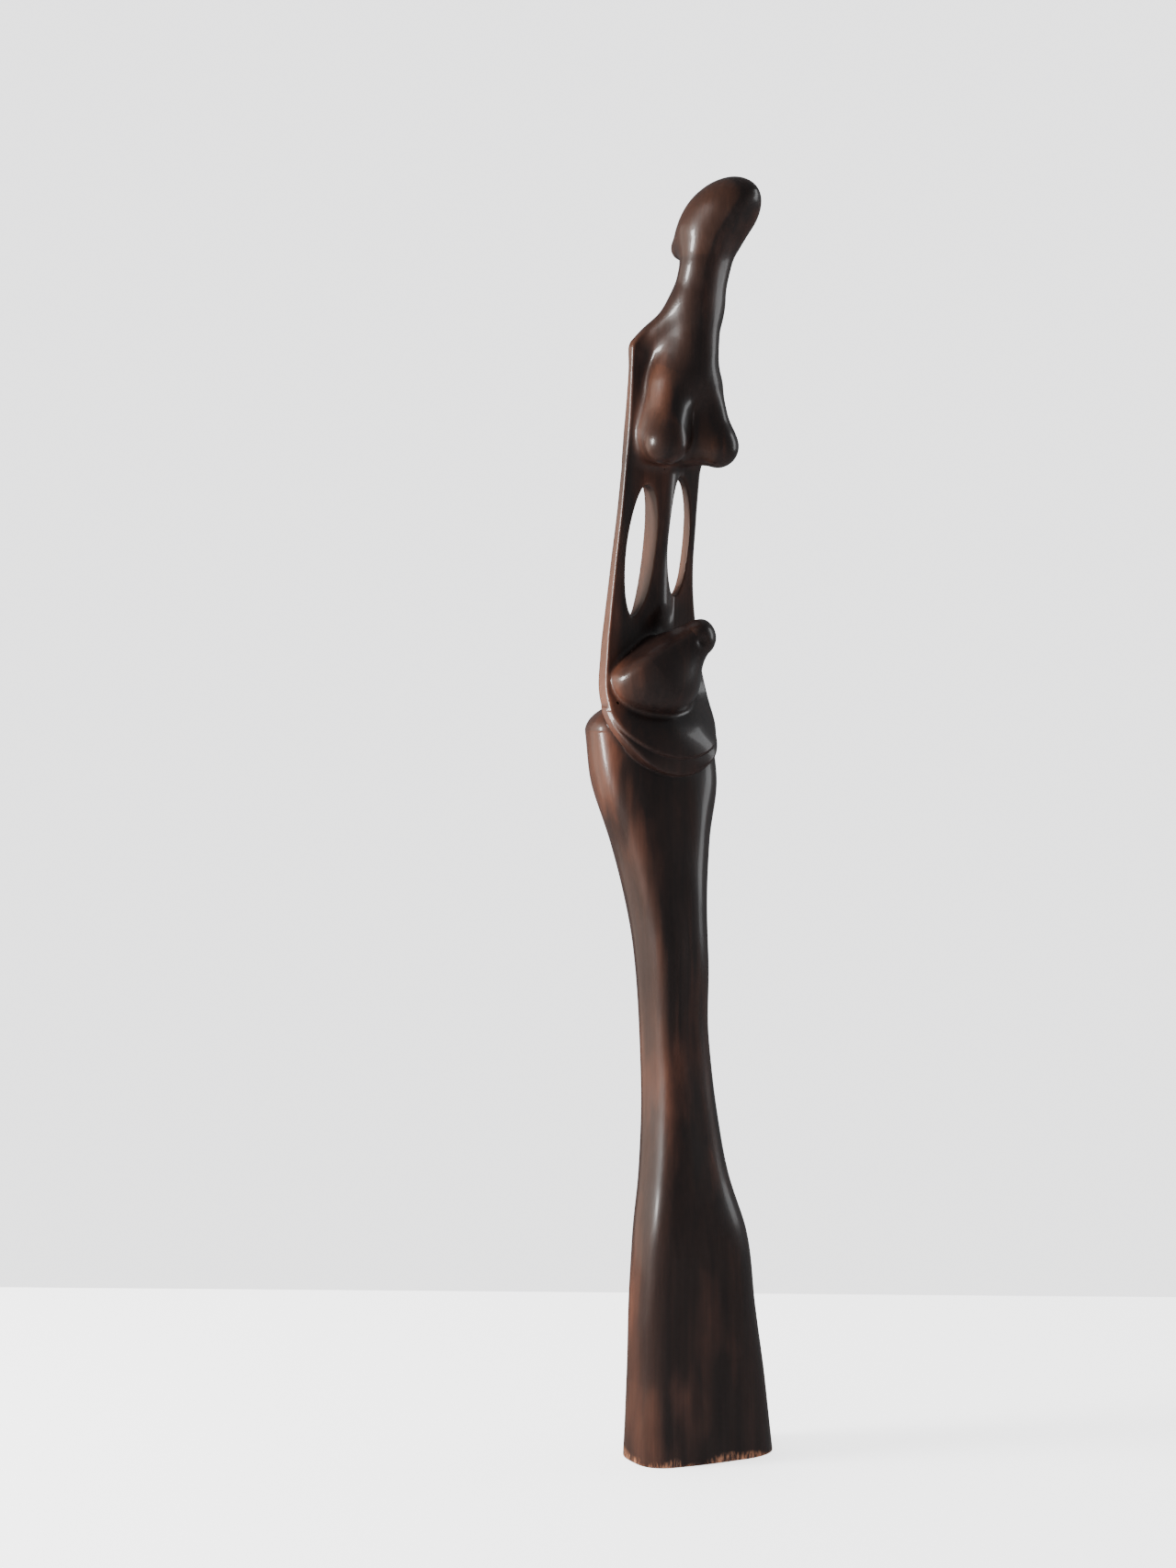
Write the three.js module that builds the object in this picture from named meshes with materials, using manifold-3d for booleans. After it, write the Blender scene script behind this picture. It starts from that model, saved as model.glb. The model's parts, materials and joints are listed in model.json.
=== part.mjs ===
// A standing ancestor figure carved from one billet of dark hardwood, in millimetres.
// +Z is up, the figure faces -Y and its left is +X. The origin is on the table under the middle of the foot.
// The billet is divided along the carved creases, so each named section is its own closed solid.
import * as THREE from "three";
import Module from "manifold-3d";
import { mergeVertices } from "three/addons/utils/BufferGeometryUtils.js";

const wasm = await Module();
wasm.setup();

// Driving dimensions.
const HEIGHT = 760;
const BOW = 10;
const GAP = 0.3;
const FOOT_TOP = 46;
const SHIN_TOP = 166;
const KNEE_TOP = 291;
const THIGH_TOP = 385;
const HIP_TOP = 449;
const HIP_ROUND = 20;
const CRADLE_TOP = 445;
const WAIST_TOP = 585;
const CHEST_TOP = 664;
const NECK_TOP = 706;
const HEAD_TOP = 751.6;
const ARM_WIDTH = 7.4;
const HEAD_TURN = THREE.MathUtils.degToRad(15);
const HEAD_TILT = THREE.MathUtils.degToRad(30);

// The skirted legs, from the foot up: [height, how far forward the middle is, half width on the right,
// half width on the left, half depth in front, half depth behind, squareness at the front right,
// squareness elsewhere, turn to the right in degrees].
const SKIRT = [
  [0, 0.0, 44.5, 45.6, 26.0, 28.0, 3.4, 3.0, 11],
  [46, 0.2, 41.0, 41.6, 25.0, 26.0, 3.4, 3.0, 11],
  [89, 0.2, 39.0, 37.5, 24.0, 25.0, 3.6, 2.8, 9],
  [133, -1.3, 34.5, 35.0, 23.0, 24.0, 3.5, 2.7, 4],
  [166, -4.8, 28.0, 27.0, 20.5, 22.0, 3.6, 2.6, -1],
  [210, -8.8, 21.6, 22.0, 18.0, 19.2, 3.8, 2.6, -4],
  [250, -12.0, 19.6, 20.5, 17.2, 18.8, 3.8, 2.6, -4],
  [291, -13.0, 20.8, 21.8, 18.2, 20.4, 3.6, 2.5, -3],
  [325, -16.8, 23.2, 24.0, 19.6, 23.6, 3.2, 2.4, 0],
  [362, -22.8, 28.6, 30.0, 22.0, 30.0, 2.8, 2.3, 4],
  [400, -28.4, 37.6, 38.6, 23.0, 38.0, 2.4, 2.3, 9],
  [430, -33.0, 39.0, 38.2, 23.0, 39.5, 2.2, 2.2, 11],
];

// The flat slab that the arms, waist and forearms are cut from:
// [height, how far forward its front is, half width, thickness].
const SLAB = [
  [396, -1.4, 20.0, 13.0],
  [404, -2.6, 20.0, 12.0],
  [412, -5.4, 30.0, 11.0],
  [422, -10.2, 34.0, 10.0],
  [431, -16.1, 36.6, 10.0],
  [450, -25.8, 37.6, 9.6],
  [475, -30.0, 34.6, 9.0],
  [500, -31.3, 31.4, 8.0],
  [527, -29.8, 29.2, 7.3],
  [556, -25.8, 28.2, 6.8],
  [586, -23.5, 27.9, 6.3],
  [657, -17.8, 30.0, 5.0],
];

// The two openings between the waist and the arms; across and height give the middle, lean is in degrees.
const WINDOWS = [
  { across: -13.4, height: 536.4, halfWidth: 8.7, halfHeight: 39, lean: 2.6 },
  { across: 13.7, height: 545.2, halfWidth: 9.6, halfHeight: 35.2, lean: -1.5 },
];

// A smooth curve through the rows of a table, read at one height.
function curve(height, rows, column) {
  const last = rows.length - 1;
  const z = Math.min(Math.max(height, rows[0][0]), rows[last][0]);
  let i = 0;
  while (i < last - 1 && z >= rows[i + 1][0]) i += 1;
  const slopeOver = (k) => (rows[k + 1][column] - rows[k][column]) / (rows[k + 1][0] - rows[k][0]);
  const slopeAt = (k) => {
    if (k === 0) return slopeOver(0);
    if (k === last) return slopeOver(last - 1);
    const before = rows[k][0] - rows[k - 1][0];
    const after = rows[k + 1][0] - rows[k][0];
    return (slopeOver(k - 1) * after + slopeOver(k) * before) / (before + after);
  };
  const span = rows[i + 1][0] - rows[i][0];
  const t = (z - rows[i][0]) / span;
  const t2 = t * t;
  const t3 = t2 * t;
  return (2 * t3 - 3 * t2 + 1) * rows[i][column] + (t3 - 2 * t2 + t) * span * slopeAt(i)
    + (3 * t2 - 2 * t3) * rows[i + 1][column] + (t3 - t2) * span * slopeAt(i + 1);
}

// Joins two shapes with a soft fillet, and keeps what two shapes share with a softened edge.
function join(a, b, softness) {
  const h = Math.min(Math.max(0.5 + (0.5 * (b - a)) / softness, 0), 1);
  return b + (a - b) * h - softness * h * (1 - h);
}
function share(a, b, softness) {
  return -join(-a, -b, softness);
}

// Sideways bow of the whole billet, and the small step of the windowed part towards the figure's right.
function bow(z) {
  const height = Math.min(Math.max(z, 0), HEIGHT);
  return -BOW * Math.sin((Math.PI * height) / HEIGHT);
}
function slabMiddle(z) {
  return bow(z) - 1.3 * Math.exp(-(((z - 556) / 40) ** 2));
}
function slabFront(z) {
  return curve(z, SLAB, 1);
}
function onSlab(p) {
  return { across: p[0] - slabMiddle(p[2]), proud: -p[1] - slabFront(p[2]) };
}

// The joined forearms swell forward of the slab, most in the middle: [height, swell].
const FOREARM_SWELL = [[396, 0], [402, 1], [412, 6], [422, 10], [431, 12], [443, 10], [456, 4], [466, 0]];
function forearmSwell(across, z) {
  const side = Math.min(Math.abs(across / 38), 1);
  return Math.max(curve(z, FOREARM_SWELL, 1), 0) * (1 - side * side);
}
function pointOnSlab(across, proud, z) {
  return [across + slabMiddle(z), -(proud + slabFront(z)), z];
}

// Distance to a bar with rounded ends whose radius changes along it.
function taper(p, from, to, fromRadius, toRadius) {
  const d = [to[0] - from[0], to[1] - from[1], to[2] - from[2]];
  const q = [p[0] - from[0], p[1] - from[1], p[2] - from[2]];
  const along = (q[0] * d[0] + q[1] * d[1] + q[2] * d[2]) / (d[0] ** 2 + d[1] ** 2 + d[2] ** 2);
  const t = Math.min(Math.max(along, 0), 1);
  const radius = fromRadius + (toRadius - fromRadius) * t;
  return Math.hypot(q[0] - t * d[0], q[1] - t * d[1], q[2] - t * d[2]) - radius;
}

function egg(p, middle, radii) {
  const q = [0, 1, 2].map((k) => (p[k] - middle[k]) / radii[k]);
  const near = Math.hypot(q[0], q[1], q[2]);
  const steep = Math.hypot(q[0] / radii[0], q[1] / radii[1], q[2] / radii[2]);
  return (near * (near - 1)) / Math.max(steep, 1e-9);
}

// The skirted legs and the domed hips on top of them.
function skirt(p) {
  const z = Math.min(Math.max(p[2], 0), SKIRT[SKIRT.length - 1][0]);
  const x = p[0] - bow(z);
  const y = p[1] + curve(z, SKIRT, 1);
  const turn = THREE.MathUtils.degToRad(curve(z, SKIRT, 8));
  const across = x * Math.cos(turn) - y * Math.sin(turn);
  const forward = -(x * Math.sin(turn) + y * Math.cos(turn));
  const halfWidth = curve(z, SKIRT, across < 0 ? 2 : 3);
  const halfDepth = curve(z, SKIRT, forward > 0 ? 4 : 5);
  const square = curve(z, SKIRT, across < 0 && forward > 0 ? 6 : 7);
  const sum = Math.abs(across / halfWidth) ** square + Math.abs(forward / halfDepth) ** square;
  const size = (sum + 1e-12) ** (1 / square);
  const above = p[2] - (HIP_TOP - HIP_ROUND);
  if (above > 0) return (Math.hypot(size, above / HIP_ROUND) - 1) * HIP_ROUND;
  const far = Math.hypot(across, forward);
  return far - far / Math.max(size, 1e-6);
}

// The hips stay behind the forearms: this is the space in front of the slab, inside the band's outline.
function lap(p) {
  const { across, proud } = onSlab(p);
  const below = Math.max(441 - p[2], 0);
  const outline = (Math.hypot(across / 40, below / 39) - 1) * 34;
  return Math.max(outline, -2 - proud);
}
function hips(p) {
  return Math.max(skirt(p), -lap(p));
}

function slabOutline(across, z, bottom) {
  const below = Math.max(441 - z, 0);
  if (z < 441) return (Math.hypot(across / (curve(441, SLAB, 2) + 0.2), below / bottom) - 1) * 31;
  return Math.abs(across) - curve(z, SLAB, 2);
}

// The slab itself: arms at its edges, joined forearms round its lower end, sloping shoulders at its top.
function slab(p) {
  const { across, proud } = onSlab(p);
  const thick = curve(p[2], SLAB, 3);
  const slope = (slabFront(p[2] + 1) - slabFront(p[2] - 1)) / 2;
  const level = 1 / Math.hypot(1, slope);
  const front = (proud - forearmSwell(across, p[2])) * level;
  const sheet = share(front, -(proud + thick) * level, 0.8);
  const shoulder = (p[2] - (656 + 0.8 * (31 - Math.abs(across)))) * 0.8;
  return share(sheet, share(slabOutline(across, p[2], 28), shoulder, 2.5), 2);
}

// The narrow raised band that edges the forearms where they meet the hips.
function band(p) {
  const { across, proud } = onSlab(p);
  const thick = curve(p[2], SLAB, 3);
  const below = Math.max(441 - p[2], 0);
  const sheet = share((proud - forearmSwell(across, p[2]) + 2.2) * 0.85, -(proud + thick) * 0.85, 0.8);
  const outline = (Math.hypot(across / 38.4, below / 38.5) - 1) * 34;
  return share(share(sheet, outline, 2.2), p[2] - 444, 2);
}

function windowOpening(p, opening) {
  const lean = Math.tan(THREE.MathUtils.degToRad(opening.lean)) * (opening.height - p[2]);
  const across = p[0] - slabMiddle(p[2]) - opening.across + lean;
  const rise = (p[2] - opening.height) / opening.halfHeight;
  return (Math.hypot(across / opening.halfWidth, rise) - 1) * opening.halfWidth;
}

function column(p) {
  const { across, proud } = onSlab(p);
  const ends = Math.min(Math.max((66 - Math.abs(p[2] - 545)) / 28, 0), 1);
  const full = Math.max(1 - (across / 15) ** 2, 0) * ends * ends * (3 - 2 * ends);
  const bar = share(Math.abs(across) - 15, share(proud + 2.5 - 8.5 * full, -(proud + 4.5 + 5 * full), 3), 3);
  return share(bar, Math.abs(p[2] - 545) - 64, 4);
}

function openSlab(p) {
  let solid = join(slab(p), column(p), 3.5);
  for (const opening of WINDOWS) solid = share(solid, -windowOpening(p, opening), 1);
  return solid;
}

// How far out from the middle the cut between arm and waist lies, on the right (-1) or the left (1).
function armCut(z, side) {
  const opening = side < 0 ? WINDOWS[0] : WINDOWS[1];
  const past = Math.abs(z - opening.height) - opening.halfHeight + 3;
  const t = Math.min(Math.max(past / 12, 0), 1);
  const inner = curve(z, SLAB, 2) - ARM_WIDTH;
  return Math.abs(opening.across) + (inner - Math.abs(opening.across)) * t * t * (3 - 2 * t);
}

function arm(p, side) {
  const { across } = onSlab(p);
  return Math.max(openSlab(p), armCut(p[2], side) - side * across);
}

function betweenArms(p, solid) {
  const { across } = onSlab(p);
  const side = across < 0 ? -1 : 1;
  return Math.max(solid, Math.abs(across) - armCut(p[2], side) + GAP);
}

function chestSwell(p) {
  const { across, proud } = onSlab(p);
  const halfWidth = 22 - 0.08 * Math.max(p[2] - 606, 0);
  const size = Math.hypot(across / halfWidth, proud / (proud > 0 ? 13 : 8));
  return share((size - 1) * 9.5, share(590 - p[2], p[2] - 668, 6), 7);
}

function neck(p) {
  const stations = [[bow(640), 4, 640], [bow(676), -2.5, 676], [bow(700) + 0.5, -8.4, 700], [0.2, -12.6, 715]];
  const low = taper(p, stations[0], stations[1], 17.5, 14.4);
  const middle = taper(p, stations[1], stations[2], 14.4, 13.6);
  const high = taper(p, stations[2], stations[3], 13.6, 15);
  return join(join(low, middle, 6), high, 6);
}

// The slope that the neck spreads into, down to the tip of the shoulder.
function shoulderFlare(p, side) {
  return taper(p, pointOnSlab(side * 22, -3, 655), [bow(684), -3.5, 684], 3.5, 11);
}

function breast(p, side) {
  const root = pointOnSlab(side * 8.5, 11, 604);
  const tip = pointOnSlab(side * 19, 25, 597.5);
  const top = pointOnSlab(side * 5.5, 11, 650);
  const middle = pointOnSlab(side * 11, 17, 630);
  const cup = join(taper(p, root, tip, 13, 10.2), taper(p, middle, tip, 11, 10.2), 10);
  return join(cup, taper(p, top, root, 8.5, 13), 10);
}

// The front of the face and neck is worked to a soft flat: [height, how far forward the flat lies].
const FACE_FLAT = [
  [560, 48], [610, 35], [636, 19.5], [656, 16], [676, 17.2], [700, 20.8], [714, 26.2], [734, 40], [751, 49],
];
function faceFlat(p) {
  return (p[0] * Math.sin(HEAD_TURN) - p[1] * Math.cos(HEAD_TURN) - curve(p[2], FACE_FLAT, 1)) * 0.9;
}

// The smooth head without features, leaning forward, and the small knot at its nape.
function head(p) {
  const q = [p[0] - 3.4, p[1] + 14, p[2] - 729];
  const ahead = q[0] * Math.sin(HEAD_TURN) - q[1] * Math.cos(HEAD_TURN);
  const aside = q[0] * Math.cos(HEAD_TURN) + q[1] * Math.sin(HEAD_TURN);
  const long = ahead * Math.cos(HEAD_TILT) + q[2] * Math.sin(HEAD_TILT);
  const high = q[2] * Math.cos(HEAD_TILT) - ahead * Math.sin(HEAD_TILT);
  return egg([long, aside, high], [1, 0, 0], [29.6, 18.6, 19.4]);
}
const KNOT_OUT = [-1.5, 13.8, 714.5];
const KNOT_IN = [0.5, -2, 718];
function knot(p) {
  return taper(p, KNOT_OUT, KNOT_IN, 6.4, 9);
}

// The rounded child held in the forearms: a body, and a small head turned up towards the mother's left.
const CHILD_MIDDLE = [bow(460) - 6, 23, 460];
const CHILD_CROWN = pointOnSlab(12.6, 24, 484.8);
// The child's upper side is worked flat, rising from the mother's right arm to its own crown.
function childSlope(p) {
  return 0.824 * p[2] - 0.567 * onSlab(p).across - 401.6;
}
function childBody(p) {
  const { proud } = onSlab(p);
  const round = egg(p, CHILD_MIDDLE, [29, 25, 25.5]);
  return share(share(round, childSlope(p), 4), -(proud + 4), 2);
}
function childHead(p) {
  const { proud } = onSlab(p);
  const form = taper(p, [CHILD_MIDDLE[0], 20, 466], CHILD_CROWN, 22, 12);
  return share(form, Math.max(-(proud + 4), childSlope(p)), 4);
}

function bust(p) {
  const flare = join(shoulderFlare(p, -1), shoulderFlare(p, 1), 4);
  const upper = join(join(chestSwell(p), neck(p), 9), flare, 10);
  return join(openSlab(p), share(upper, faceFlat(p), 4), 7);
}
function headAndNeck(p) {
  return share(join(bust(p), join(head(p), knot(p), 12), 10), faceFlat(p), 4);
}

// How far the surface lies from a point inside it, along one direction.
function reach(solid, from, direction, grown) {
  const at = (r) => solid([0, 1, 2].map((k) => from[k] + r * direction[k])) - grown;
  const step = 0.8;
  let outside = step;
  while (outside < 90 && at(outside) < 0) outside += step;
  let inside = Math.max(outside - step, 0);
  for (let k = 0; k < 14; k += 1) {
    const half = (inside + outside) / 2;
    if (at(half) < 0) inside = half;
    else outside = half;
  }
  return Math.max((inside + outside) / 2, 0.05);
}

// A closed geometry from rings of points, fanned shut at both ends.
function ringsToGeometry(rings, first, last) {
  const around = rings[0].length;
  const points = [first, ...rings.flat(), last];
  const end = points.length - 1;
  const faces = [];
  for (let j = 0; j < around; j += 1) {
    const next = (j + 1) % around;
    faces.push(0, 1 + next, 1 + j);
    for (let i = 0; i < rings.length - 1; i += 1) {
      const low = 1 + i * around;
      const high = low + around;
      faces.push(low + j, low + next, high + next, low + j, high + next, high + j);
    }
    const top = 1 + (rings.length - 1) * around;
    faces.push(end, top + j, top + next);
  }
  const geometry = new THREE.BufferGeometry();
  geometry.setAttribute("position", new THREE.Float32BufferAttribute(points.flat(), 3));
  geometry.setIndex(faces);
  return geometry;
}

// Level rings round an upright middle line. flat is the ring's depth over its width, so that thin shapes
// keep their corners.
function layered(solid, middleAt, levels, around, flat, grown = 0) {
  const heights = levels.map((z, i) => z + (i === 0 ? -grown : 0) + (i === levels.length - 1 ? grown : 0));
  const rings = heights.map((height, i) => {
    const middle = middleAt(levels[i]);
    return Array.from({ length: around }, (_, j) => {
      const turn = (2 * Math.PI * (j + 0.5)) / around;
      const way = [Math.cos(turn), flat * Math.sin(turn), 0];
      const size = Math.hypot(way[0], way[1]);
      const direction = [way[0] / size, way[1] / size, 0];
      const r = reach(solid, [middle[0], middle[1], levels[i]], direction, grown);
      return [middle[0] + r * direction[0], middle[1] + r * direction[1], height];
    });
  });
  const low = middleAt(levels[0]);
  const high = middleAt(levels[levels.length - 1]);
  return ringsToGeometry(rings, [low[0], low[1], heights[0]], [high[0], high[1], heights[heights.length - 1]]);
}

// Rings round a point inside, from its lowest to its highest direction.
function globe(solid, middle, tall, around, grown = 0) {
  const pointTo = (rise, turn) => {
    const direction = [Math.cos(rise) * Math.cos(turn), Math.cos(rise) * Math.sin(turn), Math.sin(rise)];
    const r = reach(solid, middle, direction, grown);
    return [middle[0] + r * direction[0], middle[1] + r * direction[1], middle[2] + r * direction[2]];
  };
  const rings = Array.from({ length: tall - 1 }, (_, i) => {
    const rise = -Math.PI / 2 + (Math.PI * (i + 1)) / tall;
    return Array.from({ length: around }, (_, j) => pointTo(rise, (2 * Math.PI * j) / around));
  });
  return ringsToGeometry(rings, pointTo(-Math.PI / 2, 0), pointTo(Math.PI / 2, 0));
}

function levelsBetween(low, high, count) {
  return Array.from({ length: count + 1 }, (_, i) => low + ((high - low) * i) / count);
}

// Levels that crowd towards a rounded top or bottom.
function roundedLevels(low, high, count, power) {
  return Array.from({ length: count + 1 }, (_, i) => low + (high - low) * (1 - (1 - i / count) ** power));
}

function toManifold(geometry) {
  const merged = mergeVertices(geometry, 1e-4);
  return new wasm.Manifold(new wasm.Mesh({
    numProp: 3,
    vertProperties: new Float32Array(merged.attributes.position.array),
    triVerts: new Uint32Array(merged.index.array),
  }));
}

function toGeometry(solid) {
  const mesh = solid.getMesh();
  const geometry = new THREE.BufferGeometry();
  geometry.setAttribute("position", new THREE.Float32BufferAttribute(Array.from(mesh.vertProperties), 3));
  geometry.setIndex(Array.from(mesh.triVerts));
  geometry.computeVertexNormals();
  return geometry;
}

// Cutting one section by its neighbours can leave loose slivers, so only the largest body is kept.
function cutBy(geometry, neighbours) {
  let solid = toManifold(geometry);
  for (const neighbour of neighbours) solid = solid.subtract(toManifold(neighbour));
  const bodies = solid.decompose().sort((a, b) => b.volume() - a.volume());
  return toGeometry(bodies[0]);
}

// The sections. Each takes how much it is grown, so that a neighbour can be cut back with a gap.
const skirtMiddle = (z) => [bow(z), -curve(z, SKIRT, 1)];
const slabHeart = (z) => [slabMiddle(z), -slabFront(z) + curve(z, SLAB, 3) / 2];

function footSection(grown = 0) {
  return layered(skirt, skirtMiddle, levelsBetween(0, FOOT_TOP, 2), 36, 0.65, grown);
}
function shinSection(grown = 0) {
  return layered(skirt, skirtMiddle, levelsBetween(FOOT_TOP + GAP, SHIN_TOP, 5), 36, 0.7, grown);
}
function kneeSection(grown = 0) {
  return layered(skirt, skirtMiddle, levelsBetween(SHIN_TOP + GAP, KNEE_TOP, 5), 36, 0.9, grown);
}
function thighSection(grown = 0) {
  return layered(skirt, skirtMiddle, levelsBetween(KNEE_TOP + GAP, THIGH_TOP, 4), 36, 1, grown);
}
function hipSection(grown = 0) {
  const heart = (z) => [bow(z), -curve(z, SKIRT, 1) + 12 * Math.max(z - 396, 0) / 40];
  return layered(hips, heart, roundedLevels(THIGH_TOP + GAP, HIP_TOP - 0.15, 9, 1.9), 36, 1, grown);
}
function bandSection(grown = 0) {
  const levels = roundedLevels(443.4, 402.9, 8, 1.9).reverse();
  return layered(band, slabHeart, levels, 32, 0.25, grown);
}
function cradleSection(grown = 0) {
  const levels = roundedLevels(CRADLE_TOP, 413.6, 8, 1.9).reverse();
  return layered(slab, slabHeart, levels, 32, 0.25, grown);
}
function childBodySection(grown = 0) {
  return globe(childBody, [CHILD_MIDDLE[0], 15, 459], 14, 24, grown);
}
function childHeadSection(grown = 0) {
  const middle = [CHILD_CROWN[0] - 2, CHILD_CROWN[1] + 2, CHILD_CROWN[2] - 2];
  return globe(childHead, middle, 14, 20, grown);
}
function armSection(side, grown = 0) {
  const heart = (z) => {
    const opening = side < 0 ? WINDOWS[0] : WINDOWS[1];
    const lean = Math.tan(THREE.MathUtils.degToRad(opening.lean)) * (opening.height - z);
    const tall = Math.max(1 - ((z - opening.height) / opening.halfHeight) ** 2, 0);
    const edge = Math.abs(opening.across - lean) + opening.halfWidth * Math.sqrt(tall);
    const inner = tall > 0 ? Math.max(edge, armCut(z, side)) : armCut(z, side);
    const across = side * (curve(z, SLAB, 2) + inner) / 2;
    return [slabMiddle(z) + across, slabHeart(z)[1]];
  };
  const levels = [...levelsBetween(CRADLE_TOP + GAP, 640, 20), 648, 654, 656.6];
  return layered((p) => arm(p, side), heart, levels, 12, 1, grown);
}
function waistSection(grown = 0) {
  const solid = (p) => betweenArms(p, openSlab(p));
  return layered(solid, slabHeart, levelsBetween(CRADLE_TOP + GAP, WAIST_TOP, 16), 24, 0.45, grown);
}
function chestSection(grown = 0) {
  const solid = (p) => betweenArms(p, bust(p));
  return layered(solid, slabHeart, levelsBetween(WAIST_TOP + GAP, CHEST_TOP, 9), 28, 0.5, grown);
}
function breastSection(side, grown = 0) {
  return globe((p) => breast(p, side), pointOnSlab(side * 19, 11, 606), 12, 16, grown);
}
const neckMiddle = (z) => [bow(z) + (z > 700 ? (z - 700) * 0.15 : 0), 12 - (z - 640) * 0.345];
function neckSection(grown = 0) {
  return layered(headAndNeck, neckMiddle, levelsBetween(CHEST_TOP + GAP, NECK_TOP, 6), 24, 1, grown);
}
function headSection(grown = 0) {
  const rise = (z) => (z - NECK_TOP) / (HEAD_TOP - NECK_TOP);
  const middle = (z) => [-1 + 7.3 * rise(z), -11 - 13.7 * rise(z)];
  const solid = (p) => share(join(head(p), neck(p), 10), faceFlat(p), 4);
  return layered(solid, middle, roundedLevels(NECK_TOP + GAP, HEAD_TOP, 10, 1.7), 26, 1, grown);
}
function knotSection(grown = 0) {
  return globe(knot, [-0.5, 8, 717], 9, 14, grown);
}

// Near-black polished hardwood, a little redder where the polish is worn.
function darkWood() {
  return new THREE.MeshStandardMaterial({ color: 0x2c1a13, roughness: 0.34, metalness: 0 });
}
function redWood() {
  return new THREE.MeshStandardMaterial({ color: 0x43251a, roughness: 0.38, metalness: 0 });
}

const figure = new THREE.Group();
figure.name = "carved_ancestor_figure";

function addSection(name, geometry, material) {
  geometry.computeVertexNormals();
  const mesh = new THREE.Mesh(geometry, material);
  mesh.name = name;
  figure.add(mesh);
}

const child = childBodySection(GAP);
const childCrown = childHeadSection(GAP);
const rightArm = armSection(-1, GAP);
const leftArm = armSection(1, GAP);
const cradle = cradleSection(GAP);

addSection("foot_block", footSection(), redWood());
addSection("lower_skirt", shinSection(), darkWood());
addSection("upper_skirt", kneeSection(), darkWood());
addSection("thighs", thighSection(), darkWood());
const aboveHips = [bandSection(GAP), cradle, child, rightArm, leftArm, waistSection(GAP)];
addSection("hips", cutBy(hipSection(), aboveHips), darkWood());
addSection("hip_band", cutBy(bandSection(), [cradle, child, childCrown]), darkWood());
addSection("forearm_cradle", cutBy(cradleSection(), [child, childCrown]), darkWood());
addSection("child_body", childBodySection(), darkWood());
addSection("child_head", cutBy(childHeadSection(), [child]), darkWood());
addSection("waist_column", cutBy(waistSection(), [child, childCrown, rightArm, leftArm]), darkWood());
addSection("right_arm", cutBy(armSection(-1), [child, childCrown]), redWood());
addSection("left_arm", cutBy(armSection(1), [child, childCrown]), redWood());
addSection("chest", cutBy(chestSection(), [rightArm, leftArm]), darkWood());
addSection("right_breast", cutBy(breastSection(-1), [chestSection(GAP), rightArm]), redWood());
const besideLeftBreast = [chestSection(GAP), leftArm, breastSection(-1, GAP)];
addSection("left_breast", cutBy(breastSection(1), besideLeftBreast), redWood());
addSection("neck", neckSection(), darkWood());
addSection("head", headSection(), redWood());
addSection("nape_knot", cutBy(knotSection(), [headSection(GAP), neckSection(GAP)]), darkWood());

export default figure;
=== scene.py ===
# The visual model of a carved hardwood ancestor figure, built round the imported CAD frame, in metres.
# The carving is one billet, so its whole surface is one smooth field, meshed once and then divided into
# the frame's named sections. Lengths inside the field are in millimetres: front is -Y and +X is its left.
import json
import math

import bpy
import numpy as np
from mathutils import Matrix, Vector


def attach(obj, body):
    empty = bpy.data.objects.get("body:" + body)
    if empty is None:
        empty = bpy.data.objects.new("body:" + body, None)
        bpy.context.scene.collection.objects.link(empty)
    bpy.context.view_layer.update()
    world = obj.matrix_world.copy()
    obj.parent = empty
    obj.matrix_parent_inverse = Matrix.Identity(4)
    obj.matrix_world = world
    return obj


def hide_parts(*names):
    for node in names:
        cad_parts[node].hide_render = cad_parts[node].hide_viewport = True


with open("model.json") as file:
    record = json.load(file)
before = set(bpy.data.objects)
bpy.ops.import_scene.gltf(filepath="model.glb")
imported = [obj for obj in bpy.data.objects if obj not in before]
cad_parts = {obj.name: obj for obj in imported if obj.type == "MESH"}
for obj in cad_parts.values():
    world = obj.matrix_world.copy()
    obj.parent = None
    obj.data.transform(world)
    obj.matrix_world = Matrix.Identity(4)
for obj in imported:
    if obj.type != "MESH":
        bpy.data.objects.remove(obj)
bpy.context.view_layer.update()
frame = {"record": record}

# ---------------------------------------------------------------- driving dimensions
MM = 0.001
HEIGHT = 760.0
BOW = 10.0
FOOT_TOP = 46.0
SHIN_TOP = 166.0
KNEE_TOP = 291.0
THIGH_TOP = 385.0
HIP_TOP = 449.0
HIP_ROUND = 20.0
CRADLE_TOP = 445.0
WAIST_TOP = 585.0
CHEST_TOP = 664.0
NECK_TOP = 706.0
ARM_WIDTH = 7.4
HEAD_TURN = math.radians(15)
HEAD_TILT = math.radians(30)

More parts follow.
